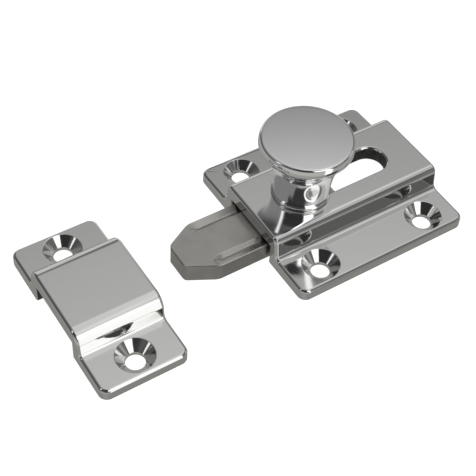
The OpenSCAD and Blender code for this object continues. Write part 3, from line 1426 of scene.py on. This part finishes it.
@dataclass
class LeafSpring:
    """The bowed steel leaf in the bolt's side: a strip with rounded corners, bent to an arc."""

    finish: TurnedMetal
    thickness: float = 0.4
    end_r: float = 1.2
    steps: int = 40

    def make(self) -> bpy.types.Object:
        """Bend the strip from its CAD box.

        Returns:
            The finished piece.
        """
        low, high = node_box("friction_spring")
        length, width = high.x - low.x, high.z - low.z
        rise = high.y - low.y - self.thickness
        radius = (length ** 2 / 4 + rise ** 2) / 2 / rise
        outline = round_rectangle(length, width, self.end_r, 6)
        strip = prism("spring_leaf", outline, 0.0, self.thickness,
                      lambda u, v, w: (u, w, v))
        cuts = bmesh.new()
        cuts.from_mesh(strip.data)
        for i in range(1, self.steps):
            x = (-length / 2 + length * i / self.steps) * MM
            bmesh.ops.bisect_plane(cuts, geom=cuts.verts[:] + cuts.edges[:] + cuts.faces[:],
                                   plane_co=(x, 0, 0), plane_no=(1, 0, 0))
        mid_x, mid_z = (low.x + high.x) / 2, (low.z + high.z) / 2
        for point in cuts.verts:
            x, y, z = point.co / MM
            bow = math.sqrt(radius ** 2 - x ** 2) - (radius - rise)
            point.co = Vector((mid_x + x, low.y + bow + y, mid_z + z)) * MM
        bmesh.ops.recalc_face_normals(cuts, faces=cuts.faces)
        cuts.to_mesh(strip.data)
        cuts.free()
        smooth(strip, 35.0, weighted=False)
        strip.data.materials.append(self.finish.make())
        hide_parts("friction_spring")
        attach(strip, "bolt_set")
        return strip


# ----------------------------------------------------------------------- studio and camera


@dataclass(frozen=True)
class Card:
    """A soft-edged light or dark panel, placed by direction from the object.

    Attributes:
        azimuth: Middle, in degrees anticlockwise from +X.
        elevation: Middle, in degrees above the floor.
        half_wide: Half its width in degrees of azimuth.
        half_tall: Half its height in degrees.
        edge: Width of its soft edge in degrees.
        level: The brightness it brings the studio to.
    """

    azimuth: float
    elevation: float
    half_wide: float
    half_tall: float
    edge: float
    level: float


@dataclass
class Studio:
    """Pale floor and a soft surround of light panels.

    Attributes:
        floor_glow: Light that the floor gives of itself.
        floor_albedo: Light that it sends back.
        floor_r: Its radius in metres.
        floor_gap: How far it lies under the latch, in millimetres.
        backdrop: Brightness of the surround behind the latch.
        sky: Pairs of elevation in degrees and the surround's brightness there.
        sky_lean: How much brighter the upper surround is on one side than on average.
        lean_toward: That side's azimuth in degrees.
        warm: Tint of the surround below the horizon.
        plain: Tint of the surround above it.
        cards: The panels; a later one lies over the ones before it.
    """

    floor_glow: float = 1.0
    floor_albedo: float = 0.5
    floor_r: float = 6.0
    floor_gap: float = 0.05
    backdrop: float = 1.0
    sky: tuple[tuple[float, float], ...] = (
        (-90.0, 0.27), (-50.0, 0.27), (-20.0, 0.36), (-5.0, 0.28), (5.0, 0.14), (28.0, 0.12),
        (34.0, 0.20), (38.0, 0.29), (42.0, 0.345), (46.0, 0.41), (50.0, 0.49), (56.0, 0.58),
        (66.0, 0.70), (76.0, 0.62), (90.0, 0.42))
    sky_lean: float = 0.55
    lean_toward: float = -36.0
    warm: Point3 = (1.0, 0.99, 0.95)
    plain: Point3 = (1.0, 1.0, 1.0)
    cards: tuple[Card, ...] = (
        Card(146.0, 60.0, 58.0, 22.0, 16.0, 0.24),
        Card(218.0, 45.0, 38.0, 12.0, 6.0, 0.03),
        Card(234.0, 65.0, 34.0, 12.0, 8.0, 0.04),
        Card(63.0, 6.0, 30.0, 20.0, 12.0, 0.62),
        Card(238.0, -10.0, 56.0, 20.0, 16.0, 0.44),
        Card(222.0, -50.0, 30.0, 20.0, 20.0, 0.32),
        Card(334.0, 54.0, 20.0, 9.0, 8.0, 0.50),
        Card(322.0, 30.0, 26.0, 14.0, 8.0, 0.14),
        Card(316.0, 21.0, 10.0, 5.0, 4.0, 0.34),
        Card(346.0, 10.0, 8.0, 5.0, 4.0, 0.95),
        Card(170.0, 34.0, 5.0, 13.0, 4.0, 1.1),
        Card(242.0, 22.0, 20.0, 9.0, 6.0, 0.03),
        Card(276.0, 62.0, 12.0, 8.0, 6.0, 0.24),
        Card(299.0, -38.0, 14.0, 8.0, 6.0, 0.04),
        Card(285.0, 6.0, 8.0, 36.0, 5.0, 1.2),
        Card(275.0, 40.0, 19.0, 12.0, 6.0, 1.5),
    )

    def light(self) -> None:
        """Build the surround: a tone for each height, leaning to one side, and the panels."""
        world = bpy.data.worlds.new("studio surround")
        bpy.context.scene.world = world
        world.use_nodes = True
        graph = Graph(world.node_tree)
        toward = graph.add("ShaderNodeTexCoord", output="Generated")
        parts = {axis: graph.add("ShaderNodeSeparateXYZ", inputs={"Vector": toward}, output=axis)
                 for axis in "XYZ"}
        height = parts["Z"].call("ARCSINE") * (180.0 / math.pi)
        bearing = parts["Y"].call("ARCTAN2", parts["X"]) * (180.0 / math.pi)
        tone = graph.add("ShaderNodeValToRGB", {"stops": [
            ((angle + 90.0) / 180.0, (level,) * 3) for angle, level in self.sky]},
            {"Fac": (height + 90.0) / 180.0})
        lean = math.radians(self.lean_toward)
        side = parts["X"] * math.cos(lean) + parts["Y"] * math.sin(lean)
        aloft = graph.add("ShaderNodeClamp", inputs={"Value": parts["Z"] * 2.0})
        total = graph.add("ShaderNodeRGBToBW", inputs={"Color": tone})
        total = total * (1.0 + self.sky_lean * side * aloft)
        for card in self.cards:
            across = (bearing - card.azimuth + 540.0).call("FLOORED_MODULO", 360.0) - 180.0
            mask = self._fade(graph, abs(across), card.half_wide, card.edge)
            mask = mask * self._fade(graph, abs(height - card.elevation), card.half_tall, card.edge)
            total = total * (1.0 - mask) + mask * card.level
        seen = graph.add("ShaderNodeLightPath", output="Is Camera Ray")
        level = total * (1.0 - seen) + seen * self.backdrop
        warmth = graph.add("ShaderNodeValToRGB", {"stops": [(0.45, self.warm), (0.55, self.plain)]},
                           {"Fac": (height + 90.0) / 180.0})
        surround = graph.add("ShaderNodeBackground", inputs={"Color": warmth, "Strength": level})
        graph.add("ShaderNodeOutputWorld", inputs={"Surface": surround})

    @staticmethod
    def _fade(graph: Graph, distance: Signal, half: float, edge: float) -> Signal:
        """Return 1 inside a panel's half size, falling smoothly to 0 over its edge."""
        return graph.add("ShaderNodeMapRange", {"interpolation_type": "SMOOTHSTEP"}, {
            "Value": distance, "From Min": half - edge / 2, "From Max": half + edge / 2,
            "To Min": 1.0, "To Max": 0.0})

    def lay_floor(self) -> bpy.types.Object:
        """Build the floor.

        Returns:
            The floor's object.
        """
        shape = bmesh.new()
        bmesh.ops.create_circle(shape, cap_ends=True, segments=96, radius=self.floor_r,
                                matrix=Matrix.Translation((0.0, 0.0, -self.floor_gap * MM)))
        mesh = bpy.data.meshes.new("floor")
        shape.to_mesh(mesh)
        shape.free()
        floor = new_object("floor", mesh)
        material, graph = blank("pale floor")
        cover(graph, {"Base Color": (*(self.floor_albedo,) * 3, 1.0), "Roughness": 0.9,
                      "Specular IOR Level": 0.0, "Emission Color": (1.0, 1.0, 1.0, 1.0),
                      "Emission Strength": self.floor_glow})
        floor.data.materials.append(material)
        floor.visible_glossy = False
        return floor


@dataclass
class Viewpoint:
    """The camera.

    Attributes:
        place: Where it stands, in millimetres.
        target: What it looks at, in millimetres.
        roll: Its turn about the line between them, in degrees.
        lens: Focal length in millimetres, on a 36 mm wide sensor.
    """

    place: Point3 = (-119.5, -131.95, 189.56)
    target: Point3 = (-26.5, -2.17, 5.0)
    roll: float = 4.24
    lens: float = 85.59

    def make(self) -> bpy.types.Object:
        """Build the camera and make it the scene's.

        Returns:
            The camera's object.
        """
        place = Vector(self.place) * MM
        ahead = (Vector(self.target) * MM - place).normalized()
        level = ahead.cross(Vector((0.0, 0.0, 1.0))).normalized()
        above = level.cross(ahead)
        turn = math.radians(self.roll)
        right = level * math.cos(turn) + above * math.sin(turn)
        up = above * math.cos(turn) - level * math.sin(turn)
        data = bpy.data.cameras.new("camera")
        data.lens = self.lens
        data.sensor_width = 36.0
        data.clip_start = 0.01
        data.clip_end = 50.0
        camera = bpy.data.objects.new("camera", data)
        bpy.context.scene.collection.objects.link(camera)
        axes = Matrix((right, up, -ahead)).transposed()
        camera.matrix_world = Matrix.Translation(place) @ axes.to_4x4()
        bpy.context.scene.camera = camera
        return camera


def main() -> None:
    """Build the camera, the studio and every piece."""
    logging.basicConfig(level=logging.INFO, format="%(name)s: %(message)s")
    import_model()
    bpy.context.scene.view_settings.view_transform = "Standard"
    Viewpoint().make()
    studio = Studio()
    studio.light()
    studio.lay_floor()

    # Each casting's second material is the near-black painted shade for its channel, slot or tunnel.
    pieces = [LatchCase(PolishedPlate("case plate"), PaintedRecessShade("case painted shade")).make(),
              Strike(PolishedPlate("strike plate"), PaintedRecessShade("strike painted shade")).make(),
              SlidingBolt(SatinCasting("bolt casting")).make()]
    pieces += KnobSet(PolishedPlate("knob plate", tint=(0.95, 0.95, 0.955), roughness=0.05),
                      TurnedMetal("screw steel", tint=(0.62, 0.62, 0.63), roughness=0.25),
                      TurnedMetal("sleeve brass", tint=(0.72, 0.50, 0.20), roughness=0.22),
                      NaturalNylon("washer nylon")).make()
    blued = TurnedMetal("spring steel", tint=(0.20, 0.21, 0.24), roughness=0.3)
    pieces.append(LeafSpring(blued).make())
    for piece in pieces:
        LOG.info("%s: %d faces", piece.name, len(piece.data.polygons))


if __name__ == "__main__":
    main()
